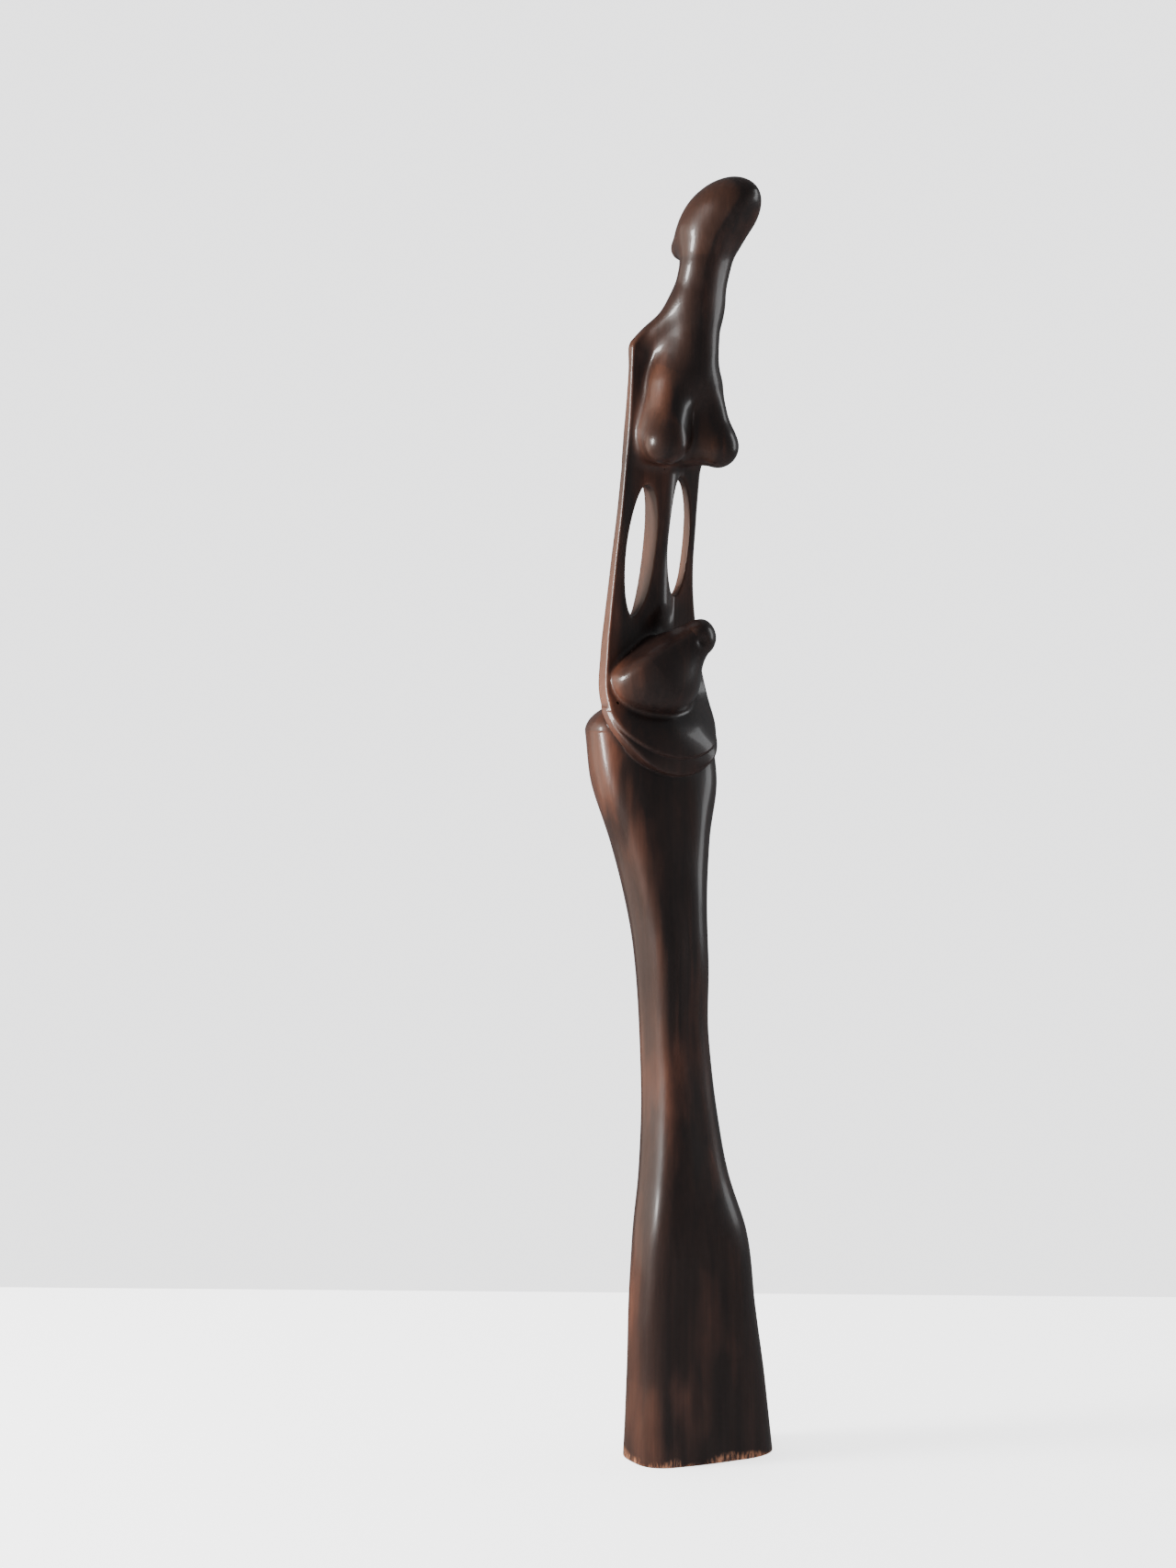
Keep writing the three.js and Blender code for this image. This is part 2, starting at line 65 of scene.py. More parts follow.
# Skirt rows: height, how far forward its middle is, half width right and left, half depth front and
# back, squareness of the front right corner and of the rest, turn to the right in degrees.
SKIRT = np.array([
    (0, 0.0, 44.5, 45.6, 26.0, 28.0, 3.4, 3.0, 11),
    (46, 0.2, 41.0, 41.6, 25.0, 26.0, 3.4, 3.0, 11),
    (89, 0.2, 39.0, 37.5, 24.0, 25.0, 3.6, 2.8, 9),
    (133, -1.3, 34.5, 35.0, 23.0, 24.0, 3.5, 2.7, 4),
    (166, -4.8, 28.0, 27.0, 20.5, 22.0, 3.6, 2.6, -1),
    (210, -8.8, 21.6, 22.0, 18.0, 19.2, 3.8, 2.6, -4),
    (250, -12.0, 19.6, 20.5, 17.2, 18.8, 3.8, 2.6, -4),
    (291, -13.0, 20.8, 21.8, 18.2, 20.4, 3.6, 2.5, -3),
    (325, -16.8, 23.2, 24.0, 19.6, 23.6, 3.2, 2.4, 0),
    (362, -22.8, 28.6, 30.0, 22.0, 30.0, 2.8, 2.3, 4),
    (400, -28.4, 37.6, 38.6, 23.0, 38.0, 2.4, 2.3, 9),
    (430, -33.0, 39.0, 38.2, 23.0, 39.5, 2.2, 2.2, 11),
])
FORWARD, RIGHT, LEFT, FRONT, BACK, RIDGE_SQUARE, SQUARE, TURN = range(1, 9)

# Slab rows: height, how far forward its front is, half width, thickness.
SLAB = np.array([
    (396, -1.4, 20.0, 13.0), (404, -2.6, 20.0, 12.0), (412, -5.4, 30.0, 11.0), (422, -10.2, 34.0, 10.0),
    (431, -16.1, 36.6, 10.0), (450, -25.8, 37.6, 9.6), (475, -30.0, 34.6, 9.0), (500, -31.3, 31.4, 8.0),
    (527, -29.8, 29.2, 7.3), (556, -25.8, 28.2, 6.8), (586, -23.5, 27.9, 6.3), (657, -17.8, 30.0, 5.0),
])
WIDTH, THICK = 2, 3

# Forearm rows: height, how far they swell forward of the slab, most in the middle.
SWELL = np.array([
    (396, 0), (402, 1), (412, 6), (422, 10), (431, 12), (443, 10), (456, 4), (466, 0),
], float)
SWELL_REACH = 38

# Face rows: height, how far forward the flat of the face and neck lies.
FACE_FLAT = np.array([
    (560, 48), (610, 35), (636, 19.5), (656, 16.0), (676, 17.2), (700, 20.8), (714, 26.2), (734, 40),
    (751, 49),
], float)

# The two openings between the waist and the arms; across and height give the middle, lean is in degrees.
WINDOWS = (
    {"across": -13.4, "height": 536.4, "half_width": 8.7, "half_height": 39.0, "lean": 2.6},
    {"across": 13.7, "height": 545.2, "half_width": 9.6, "half_height": 35.2, "lean": -1.5},
)

# The windowed part steps a little towards the figure's right.
STEP_SIZE = 1.3
STEP_HEIGHT = 556
STEP_REACH = 40

# Below this height the forearms, the band and the recess in the hips end in half ovals, each given by
# its half width, its drop and the length that scales its distances.
OVAL_TOP = 441
RECESS_OVAL = (40, 39, 34)
BAND_OVAL = (38.4, 38.5, 34)
FOREARM_DROP = 28
FOREARM_SCALE = 31
RECESS_BEHIND = 2
BAND_BEHIND = 2.2
BAND_TOP = 444

# The LEVEL values bring a distance measured across a slope back to about a true one.
SHOULDER_HEIGHT = 656
SHOULDER_OUT = 31
SHOULDER_SLOPE = 0.80
SHOULDER_LEVEL = 0.8
BAND_LEVEL = 0.85

COLUMN_HEIGHT = 545
COLUMN_HALF_HEIGHT = 64
COLUMN_HALF_WIDTH = 15
COLUMN_FADE = 28

CHEST_HALF_WIDTH = 22
CHEST_DEPTH_FRONT = 13.0
CHEST_DEPTH_BACK = 8.0
CHEST_NARROWS_AT = 606
CHEST_LOW = 590
CHEST_HIGH = 668

NECK_RADII = (17.5, 14.4, 13.6, 15)
BREAST_ROOT_RADIUS = 13
BREAST_TIP_RADIUS = 10.2

HEAD_MIDDLE = (3.4, -14, 729)
HEAD_AHEAD = 1
HEAD_RADII = (29.6, 18.6, 19.4)
KNOT_OUT = (-1.5, 13.8, 714.5)
KNOT_IN = (0.5, -2, 718)
KNOT_RADII = (6.4, 9)

CHILD_RADII = (29, 25, 25.5)
CHILD_HEAD_RADII = (22, 12)
CHILD_BEHIND = 4
CHILD_FACE_RADIUS = 2.4


# ---------------------------------------------------------------- shapes as distance fields
def curve(z, rows, column):
    """A smooth curve through one column of a table, read at heights z."""
    zs, vs = rows[:, 0], rows[:, column]
    step = np.diff(zs)
    slope = np.diff(vs) / step
    m = np.empty_like(vs)
    m[0], m[-1] = slope[0], slope[-1]
    m[1:-1] = (slope[:-1] * step[1:] + slope[1:] * step[:-1]) / (step[:-1] + step[1:])
    z = np.clip(z, zs[0], zs[-1])
    i = np.clip(np.searchsorted(zs, z, side="right") - 1, 0, len(zs) - 2)
    h = step[i]
    t = (z - zs[i]) / h
    t2, t3 = t * t, t * t * t
    low = (2 * t3 - 3 * t2 + 1) * vs[i] + (t3 - 2 * t2 + t) * h * m[i]
    return low + (3 * t2 - 2 * t3) * vs[i + 1] + (t3 - t2) * h * m[i + 1]


def join(a, b, softness):
    """Two shapes joined with a soft fillet."""
    h = np.clip(0.5 + 0.5 * (b - a) / softness, 0, 1)
    return b + (a - b) * h - softness * h * (1 - h)


def share(a, b, softness):
    """What two shapes share, with a softened edge."""
    return -join(-a, -b, softness)


def eased(t):
    """From 0 to 1 with a level start and end."""
    return t * t * (3 - 2 * t)


def bow(z):
    """Sideways bow of the whole billet."""
    return -BOW * np.sin(np.pi * np.clip(z, 0, HEIGHT) / HEIGHT)


def slab_middle(z):
    return bow(z) - STEP_SIZE * np.exp(-((z - STEP_HEIGHT) / STEP_REACH) ** 2)


def slab_front(z):
    return curve(z, SLAB, FORWARD)


def on_slab(x, y, z):
    """How far across the slab, and how far proud of its front."""
    return x - slab_middle(z), -y - slab_front(z)


def point_on_slab(across, proud, z):
    return float(across + slab_middle(z)), float(-(proud + slab_front(z))), z


def point_on_bow(aside, y, z):
    """A point beside the billet's bowed middle line."""
    return float(bow(float(z))) + aside, y, z


def swell(across, z):
    side = np.minimum(np.abs(across / SWELL_REACH), 1)
    return np.maximum(curve(z, SWELL, FORWARD), 0) * (1 - side * side)


def taper(x, y, z, start, end, start_radius, end_radius):
    """A bar with rounded ends whose radius changes along it."""
    d = [end[k] - start[k] for k in range(3)]
    q = (x - start[0], y - start[1], z - start[2])
    along = (q[0] * d[0] + q[1] * d[1] + q[2] * d[2]) / (d[0] ** 2 + d[1] ** 2 + d[2] ** 2)
    t = np.clip(along, 0, 1)
    away = np.sqrt((q[0] - t * d[0]) ** 2 + (q[1] - t * d[1]) ** 2 + (q[2] - t * d[2]) ** 2)
    return away - (start_radius + (end_radius - start_radius) * t)


def egg(a, b, c, radii):
    p = (a / radii[0], b / radii[1], c / radii[2])
    near = np.sqrt(p[0] ** 2 + p[1] ** 2 + p[2] ** 2)
    steep = np.sqrt((p[0] / radii[0]) ** 2 + (p[1] / radii[1]) ** 2 + (p[2] / radii[2]) ** 2)
    return near * (near - 1) / np.maximum(steep, 1e-9)


def half_oval(across, z, half_width, drop, scale):
    """An outline with straight sides above OVAL_TOP and a half oval below it."""
    return (np.hypot(across / half_width, np.maximum(OVAL_TOP - z, 0) / drop) - 1) * scale


def skirt(x, y, z):
    """The long skirted legs, with the domed hips on top of them."""
    zc = np.clip(z, 0, SKIRT[-1, 0])
    px, py = x - bow(zc), y + curve(zc, SKIRT, FORWARD)
    turn = np.radians(curve(zc, SKIRT, TURN))
    across = px * np.cos(turn) - py * np.sin(turn)
    forward = -(px * np.sin(turn) + py * np.cos(turn))
    half_width = np.where(across < 0, curve(zc, SKIRT, RIGHT), curve(zc, SKIRT, LEFT))
    half_depth = np.where(forward > 0, curve(zc, SKIRT, FRONT), curve(zc, SKIRT, BACK))
    ridge = (across < 0) & (forward > 0)
    k = np.where(ridge, curve(zc, SKIRT, RIDGE_SQUARE), curve(zc, SKIRT, SQUARE))
    size = (np.abs(across / half_width) ** k + np.abs(forward / half_depth) ** k + 1e-12) ** (1 / k)
    far = np.hypot(across, forward)
    side = far - far / np.maximum(size, 1e-6)
    above = z - (HIP_TOP - HIP_ROUND)
    dome = (np.hypot(size, np.maximum(above, 0) / HIP_ROUND) - 1) * HIP_ROUND
    return share(np.where(above > 0, dome, side), -z, 1.2)


def hips(x, y, z):
    """The skirt, cut back behind the forearms."""
    across, proud = on_slab(x, y, z)
    recess = np.maximum(half_oval(across, z, *RECESS_OVAL), -RECESS_BEHIND - proud)
    return share(skirt(x, y, z), -recess, 0.8)


def slab(x, y, z):
    """The flat slab of arms and forearms, with sloping shoulders at its top."""
    across, proud = on_slab(x, y, z)
    slope = (slab_front(z + 1) - slab_front(z - 1)) / 2
    level = 1 / np.sqrt(1 + slope * slope)
    front = (proud - swell(across, z)) * level
    sheet = share(front, -(proud + curve(z, SLAB, THICK)) * level, 0.8)
    rim_width = curve(float(OVAL_TOP), SLAB, WIDTH) + 0.2
    rim = half_oval(across, z, rim_width, FOREARM_DROP, FOREARM_SCALE)
    outline = np.where(z < OVAL_TOP, rim, np.abs(across) - curve(z, SLAB, WIDTH))
    shoulder_line = SHOULDER_HEIGHT + SHOULDER_SLOPE * (SHOULDER_OUT - np.abs(across))
    shoulder = (z - shoulder_line) * SHOULDER_LEVEL
    return share(sheet, share(outline, shoulder, 2.5), 2.0)


def band(x, y, z):
    """The narrow raised band that edges the forearms where they meet the hips."""
    across, proud = on_slab(x, y, z)
    front = (proud - swell(across, z) + BAND_BEHIND) * BAND_LEVEL
    sheet = share(front, -(proud + curve(z, SLAB, THICK)) * BAND_LEVEL, 0.8)
    return share(share(sheet, half_oval(across, z, *BAND_OVAL), 2.2), z - BAND_TOP, 2)


def window(x, z, opening):
    lean = math.tan(math.radians(opening["lean"])) * (opening["height"] - z)
    across = x - slab_middle(z) - opening["across"] + lean
    rise = (z - opening["height"]) / opening["half_height"]
    return (np.hypot(across / opening["half_width"], rise) - 1) * opening["half_width"]


def column(x, y, z):
    """The thin waist, fullest in the middle and fading into the slab at its ends."""
    across, proud = on_slab(x, y, z)
    from_middle = np.abs(z - COLUMN_HEIGHT)
    ends = np.clip((COLUMN_HALF_HEIGHT + 2 - from_middle) / COLUMN_FADE, 0, 1)
    full = np.maximum(1 - (across / COLUMN_HALF_WIDTH) ** 2, 0) * eased(ends)
    faces = share(proud + 2.5 - 8.5 * full, -(proud + 4.5 + 5 * full), 3)
    bar = share(np.abs(across) - COLUMN_HALF_WIDTH, faces, 3)
    return share(bar, from_middle - COLUMN_HALF_HEIGHT, 4)


def open_slab(x, y, z):
    """The slab with the waist and the two openings beside it."""
    solid = join(slab(x, y, z), column(x, y, z), 3.5)
    for opening in WINDOWS:
        solid = share(solid, -window(x, z, opening), 0.9)
    return solid


def chest_swell(x, y, z):
    across, proud = on_slab(x, y, z)
    half_width = CHEST_HALF_WIDTH - 0.08 * np.maximum(z - CHEST_NARROWS_AT, 0)
    depth = np.where(proud > 0, CHEST_DEPTH_FRONT, CHEST_DEPTH_BACK)
    size = np.hypot(across / half_width, proud / depth)
    return share((size - 1) * 9.5, share(CHEST_LOW - z, z - CHEST_HIGH, 6), 7)


def neck(x, y, z):
    at = (
        point_on_bow(0, 4, 640),
        point_on_bow(0, -2.5, 676),
        point_on_bow(0.5, -8.4, 700),
        (0.2, -12.6, 715),
    )
    radii = NECK_RADII
    low, middle, high = (taper(x, y, z, at[k], at[k + 1], radii[k], radii[k + 1]) for k in range(3))
    return join(join(low, middle, 6), high, 6)


def shoulder_flare(x, y, z, side):
    """The slope that the neck spreads into, down to the tip of the shoulder."""
    return taper(x, y, z, point_on_slab(side * 22, -3, 655), point_on_bow(0, -3.5, 684), 3.5, 11)


def breast(x, y, z, side):
    root = point_on_slab(side * 8.5, 11, 604)
    tip = point_on_slab(side * 19, 25, 597.5)
    top = point_on_slab(side * 5.5, 11, 650)
    middle = point_on_slab(side * 11, 17, 630)
    lower = taper(x, y, z, root, tip, BREAST_ROOT_RADIUS, BREAST_TIP_RADIUS)
    upper = taper(x, y, z, middle, tip, 11, BREAST_TIP_RADIUS)
    return join(join(lower, upper, 10), taper(x, y, z, top, root, 8.5, BREAST_ROOT_RADIUS), 10)


def face_flat(x, y, z):
    """The soft flat that the front of the face and neck is worked to."""
    ahead = x * math.sin(HEAD_TURN) - y * math.cos(HEAD_TURN)
    return (ahead - curve(z, FACE_FLAT, FORWARD)) * 0.9


def head(x, y, z):
    """The smooth head without features, leaning forward."""
    px, py, pz = x - HEAD_MIDDLE[0], y - HEAD_MIDDLE[1], z - HEAD_MIDDLE[2]
    ahead = px * math.sin(HEAD_TURN) - py * math.cos(HEAD_TURN)
    aside = px * math.cos(HEAD_TURN) + py * math.sin(HEAD_TURN)
    along = ahead * math.cos(HEAD_TILT) + pz * math.sin(HEAD_TILT)
    high = pz * math.cos(HEAD_TILT) - ahead * math.sin(HEAD_TILT)
    return egg(along - HEAD_AHEAD, aside, high, HEAD_RADII)


def knot(x, y, z):
    """The small knot at the nape."""
    return taper(x, y, z, KNOT_OUT, KNOT_IN, *KNOT_RADII)


CHILD_MIDDLE = point_on_bow(-6, 23.0, 460.0)
CHILD_NAPE = (CHILD_MIDDLE[0], 20, 466)
CHILD_CROWN = point_on_slab(12.6, 24, 484.8)
CHILD_FACE = point_on_slab(8.6, 36, 482.0)


def child_slope(x, z):
    """The child's upper side, worked flat from the mother's right arm up to its own crown."""
    return 0.824 * z - 0.567 * (x - slab_middle(z)) - 401.6


def on_lap(x, y, z, form):
    """A form in the forearms, with its upper side worked flat and its back against the slab."""
    _, proud = on_slab(x, y, z)
    return share(share(form, child_slope(x, z), 4), -(proud + CHILD_BEHIND), 2)


def child_body(x, y, z):
    form = egg(x - CHILD_MIDDLE[0], y - CHILD_MIDDLE[1], z - CHILD_MIDDLE[2], CHILD_RADII)
    return on_lap(x, y, z, form)


def child_head(x, y, z):
    return on_lap(x, y, z, taper(x, y, z, CHILD_NAPE, CHILD_CROWN, *CHILD_HEAD_RADII))


def child_face(x, y, z):
    """The small round hollow in the child's head."""
    away = (x - CHILD_FACE[0]) ** 2 + (y - CHILD_FACE[1]) ** 2 + (z - CHILD_FACE[2]) ** 2
    return CHILD_FACE_RADIUS - np.sqrt(away)


def tool_marks(x, y, z):
    """The slow unevenness that a blade and hand sanding leave, drawn out along the grain."""
    wide = np.sin(x * 0.23 + 1.7 * np.sin(z * 0.031) + 0.6)
    wide = wide * np.sin(y * 0.19 - 0.9 * np.sin(z * 0.047 + 2.0))
    narrow = np.sin(z * 0.11 + 0.16 * x + 1.1 * np.sin(y * 0.13))
    narrow = narrow * np.sin(0.12 * y - 0.09 * x + z * 0.021)
    return 0.12 * wide + 0.10 * narrow


def both_sides(shape, x, y, z):
    """A shape and its mirrored partner, softly joined."""
    return join(shape(x, y, z, -1), shape(x, y, z, 1), 4)


def carving(x, y, z):
    """The whole figure: negative inside the wood and positive outside."""
    lower = join(hips(x, y, z), band(x, y, z), 0.9)
    solid = join(lower, open_slab(x, y, z), 0.9)
    upper = join(chest_swell(x, y, z), neck(x, y, z), 9)
    upper = join(upper, both_sides(shoulder_flare, x, y, z), 10)
    bust = join(upper, both_sides(breast, x, y, z), 10)
    bust = join(bust, join(head(x, y, z), knot(x, y, z), 12), 10)
    solid = join(solid, share(bust, face_flat(x, y, z), 4), 7)
    child = join(child_body(x, y, z), child_head(x, y, z), 8)
    child = share(child, child_face(x, y, z), 3.4)
    return join(solid, child, 2.6) + tool_marks(x, y, z)


# ---------------------------------------------------------------- meshing the field
CELL = 0.85
BLOCK = 8
NEAR_BLOCKS = 1.9
BLOCKS_AT_ONCE = 400
FIELD_LOW = (-58.0, -64.0, -4.0)
FIELD_SIZE = (108.0, 146.0, 768.0)
SETTLE_ROUNDS = 2
GRADIENT_REACH = 0.25


def sampled_field():
    """The field on a grid, worked out only in the blocks near the surface."""
    low = np.array(FIELD_LOW)
    counts = (np.ceil(np.array(FIELD_SIZE) / CELL / BLOCK).astype(int)) * BLOCK
    blocks = counts // BLOCK
    half = CELL * (BLOCK - 1) / 2
    centre = [low[k] + half + CELL * BLOCK * np.arange(blocks[k]) for k in range(3)]
    coarse = carving(*np.meshgrid(*centre, indexing="ij"))
    grid = np.repeat(np.repeat(np.repeat(coarse, BLOCK, 0), BLOCK, 1), BLOCK, 2).astype(np.float32)
    near = np.argwhere(np.abs(coarse) < CELL * BLOCK * NEAR_BLOCKS)
    step = CELL * np.arange(BLOCK)
    for chunk in np.array_split(near, max(len(near) // BLOCKS_AT_ONCE, 1)):
        start = low + chunk * (CELL * BLOCK)
        x = start[:, 0, None, None, None] + step[None, :, None, None] + np.zeros((1, 1, BLOCK, BLOCK))
        y = start[:, 1, None, None, None] + step[None, None, :, None] + np.zeros((1, BLOCK, 1, BLOCK))
        z = start[:, 2, None, None, None] + step[None, None, None, :] + np.zeros((1, BLOCK, BLOCK, 1))
        values = carving(x, y, z)
        for (i, j, k), value in zip(chunk * BLOCK, values):
            grid[i:i + BLOCK, j:j + BLOCK, k:k + BLOCK] = value
    return grid, low


def crossed_cells(inside):
    """The grid cells that the surface passes through."""
    n = inside.shape
    count = np.zeros(tuple(k - 1 for k in n), np.int8)
    for i in (0, 1):
        for j in (0, 1):
            for k in (0, 1):
                count += inside[i:n[0] - 1 + i, j:n[1] - 1 + j, k:n[2] - 1 + k]
    return np.argwhere((count > 0) & (count < 8))


def cell_points(grid, cells):
    """One point in each cell: the mean of the places where the surface crosses the cell's edges."""
    total = np.zeros((len(cells), 3))
    hits = np.zeros(len(cells))
    for axis in range(3):
        others = [k for k in range(3) if k != axis]
        for a in (0, 1):
            for b in (0, 1):
                start = cells.copy()
                start[:, others[0]] += a
                start[:, others[1]] += b
                end = start.copy()
                end[:, axis] += 1
                u, v = grid[tuple(start.T)], grid[tuple(end.T)]
                crosses = (u < 0) != (v < 0)
                point = start.astype(float)
                point[:, axis] += np.where(crosses, u / np.where(crosses, u - v, 1), 0)
                total += point * crosses[:, None]
                hits += crosses
    return total / hits[:, None]


def quads_across(inside, index, axis):
    """One quad round each grid edge along the axis that the surface crosses, facing outwards."""
    b, c = (axis + 1) % 3, (axis + 2) % 3
    first = [slice(None)] * 3
    second = [slice(None)] * 3
    first[axis] = slice(0, -1)
    second[axis] = slice(1, None)
    edges = np.argwhere(inside[tuple(first)] != inside[tuple(second)])
    rising = inside[tuple(first)][tuple(edges.T)]
    corners = []
    for db, dc in ((1, 1), (0, 1), (0, 0), (1, 0)):
        cell = edges.copy()
        cell[:, b] -= db
        cell[:, c] -= dc
        corners.append(index[tuple(cell.T)])
    quad = np.stack(corners, 1)
    quad[~rising] = quad[~rising][:, ::-1]
    return quad


def surface_net(grid, low):
    """Points and quads of the field's zero surface."""
    inside = grid < 0
    cells = crossed_cells(inside)
    index = np.full(tuple(k - 1 for k in grid.shape), -1, np.int64)
    index[tuple(cells.T)] = np.arange(len(cells))
    points = cell_points(grid, cells) * CELL + low
    return points, np.concatenate([quads_across(inside, index, axis) for axis in range(3)])


def gradient(p):
    shifts = np.eye(3) * GRADIENT_REACH
    return np.stack([carving(*(p + s).T) - carving(*(p - s).T) for s in shifts], 1) / (2 * GRADIENT_REACH)


def settle(points):
    """Moves the points onto the surface, and gives the surface's true normals."""
    for _ in range(SETTLE_ROUNDS):
        g = gradient(points)
        size = np.maximum((g * g).sum(1), 0.05)
        move = -(carving(*points.T) / size)[:, None] * g
        length = np.linalg.norm(move, axis=1, keepdims=True)
        points = points + move * np.minimum(1, 0.6 * CELL / np.maximum(length, 1e-9))
    g = gradient(points)
    return points, g / np.maximum(np.linalg.norm(g, axis=1, keepdims=True), 1e-9)


# ---------------------------------------------------------------- dividing it into the frame's sections
NODES = [
    "foot_block", "lower_skirt", "upper_skirt", "thighs", "hips", "hip_band", "forearm_cradle",
    "child_body", "child_head", "waist_column", "right_arm", "left_arm", "chest", "right_breast",
    "left_breast", "neck", "head", "nape_knot",
]
LEG_TOPS = (
    ("thighs", THIGH_TOP), ("upper_skirt", KNEE_TOP), ("lower_skirt", SHIN_TOP), ("foot_block", FOOT_TOP),
)

# Limits that only the division into sections uses.
LAP_LOW = 396
LAP_HIGH = 500
CLEAR_OF_HIPS = 460
ARM_TOP = 659
ARM_PROUD = 2.5
ARM_CUT_MARGIN = 3
ARM_CUT_FADE = 12
CHILD_NECK = 466
BREAST_LOW = 570
KNOT_LOW = 702
KNOT_FRONT = 2
BORDER_ROUNDS = 3

# A border loop is capped at the first of these depths under its middle that leaves the cap in the wood,
# tested at these shares of the way from the loop to its middle. It stays open if none of them does.
CAP_DEPTHS = (0.0, 2.0, 4.0, 7.0, 10.0, 14.0, 18.0)
CAP_TESTS = (0.1, 0.3, 0.6, 1.0)
CAP_COVER = 0.02


def arm_cut(z, side):
    """How far out from the middle the cut between arm and waist lies."""
    opening = WINDOWS[0] if side < 0 else WINDOWS[1]
    past = np.abs(z - opening["height"]) - opening["half_height"] + ARM_CUT_MARGIN
    inner = curve(z, SLAB, WIDTH) - ARM_WIDTH
    beside = abs(opening["across"])
    return beside + (inner - beside) * eased(np.clip(past / ARM_CUT_FADE, 0, 1))


def section_of(p):
    """The section that each point of the surface belongs to. A later rule overrides an earlier one."""
    x, y, z = p.T
    across, proud = on_slab(x, y, z)
    label = np.full(len(p), NODES.index("hips"))

    def put(name, where):
        label[where] = NODES.index(name)

    for name, top in LEG_TOPS:
        put(name, z < top)
    hip, ring, plate = hips(x, y, z), band(x, y, z), slab(x, y, z)
    body, crown = child_body(x, y, z), child_head(x, y, z)
    child = np.minimum(body, crown)
    in_lap = (z > LAP_LOW) & (z < LAP_HIGH)
    put("hip_band", in_lap & (ring < hip) & (ring < plate))
    put("forearm_cradle", in_lap & (plate < hip) & (plate <= ring))
    above = (z > CRADLE_TOP) & (plate < hip) | (z > CLEAR_OF_HIPS)
    put("waist_column", above & (z <= WAIST_TOP))
    put("chest", (z > WAIST_TOP) & (z <= CHEST_TOP))
    slab_like = np.minimum(plate, ring) < np.minimum(hip, child)
    for name, side in (("right_arm", -1), ("left_arm", 1)):
        outer = side * across > arm_cut(z, side)
        in_reach = (z > CRADLE_TOP) & (z < ARM_TOP) & (proud < ARM_PROUD)
        put(name, outer & in_reach & (slab_like | (z > LAP_HIGH)))
    held = in_lap & (child < np.minimum(np.minimum(hip, ring), plate))
    put("child_body", held)
    put("child_head", held & (crown < body) & (z > CHILD_NECK))
    trunk = np.minimum(np.minimum(chest_swell(x, y, z), neck(x, y, z)), plate)
    for name, side in (("right_breast", -1), ("left_breast", 1)):
        mine = breast(x, y, z, side) < trunk
        put(name, mine & (side * across > 0) & (z > BREAST_LOW) & (z < CHEST_TOP))
    put("neck", (z > CHEST_TOP) & (z <= NECK_TOP))
    put("head", z > NECK_TOP)
    bump = knot(x, y, z)
    on_knot = (bump < head(x, y, z)) & (bump < neck(x, y, z))
    put("nape_knot", on_knot & (z > KNOT_LOW) & (y > KNOT_FRONT))
    return label


def smoothed_labels(label, quads, total):
    """Takes the raggedness out of the section borders by a vote among neighbouring points."""
    for _ in range(BORDER_ROUNDS):
        votes = np.zeros((total, len(NODES)), np.float32)
        own = label[quads]
        for corner in range(4):
            for other in range(4):
                np.add.at(votes, (quads[:, corner], own[:, other]), 1)
        label = votes.argmax(1)
    return label


def border_loops(faces):
    """The open borders of a set of faces, each a list of points in the order that a cap needs."""
    edges = dict.fromkeys((int(a), int(b)) for f in faces for a, b in zip(f, np.roll(f, -1)))
    onward = {}
    for a, b in edges:
        if (b, a) not in edges:
            onward.setdefault(b, []).append(a)
    loops = []
    while onward:
        start = next(iter(onward))
        loop = []
        at = start
        while at in onward and not (loop and at == start):
            loop.append(at)
            following = onward[at].pop()
            if not onward[at]:
                del onward[at]
            at = following
        if len(loop) > 2:
            loops.append(loop)
    return loops


def cap_middle(ring, normals):
    """A point that closes a border loop inside the wood, or None where no depth does."""
    inward = -normals.mean(0)
    for depth in CAP_DEPTHS:
        middle = ring.mean(0) + depth * inward
        highest = max(carving(*(ring + t * (middle - ring)).T).max() for t in CAP_TESTS)
        if highest < -CAP_COVER:
            return middle
    return None


def section_mesh(points, normals, faces):
    """One section as its own mesh: its share of the surface, capped inside wherever a cap fits in the wood."""
    used, local = np.unique(faces, return_inverse=True)
    faces = local.reshape(faces.shape)
    verts = [tuple(v) for v in points[used]]
    norms = [tuple(v) for v in normals[used]]
    polys = [tuple(int(i) for i in f) for f in faces]
    for loop in border_loops(faces):
        middle = cap_middle(points[used][loop], normals[used][loop])
        if middle is None:
            continue
        verts.append(tuple(middle))
        norms.append((0.0, 0.0, 1.0))
        polys += [(a, loop[(i + 1) % len(loop)], len(verts) - 1) for i, a in enumerate(loop)]
    return verts, norms, polys


# ---------------------------------------------------------------- wood
DARK = (0.0072, 0.0043, 0.0040)
UMBER = (0.0120, 0.0061, 0.0050)
BROWN = (0.024, 0.0100, 0.0072)
RED = (0.085, 0.027, 0.0145)
# The pale tan painted as light on the side that faces the window.
LIT_SIDE_TAN = (0.185, 0.068, 0.032)
BARE = (0.26, 0.105, 0.050)
# The near black painted as shade in the hollows.
PAINTED_CREVICE_SHADE = (0.006, 0.0038, 0.0034)
BLACK = (0, 0, 0)
WHITE = (1, 1, 1)

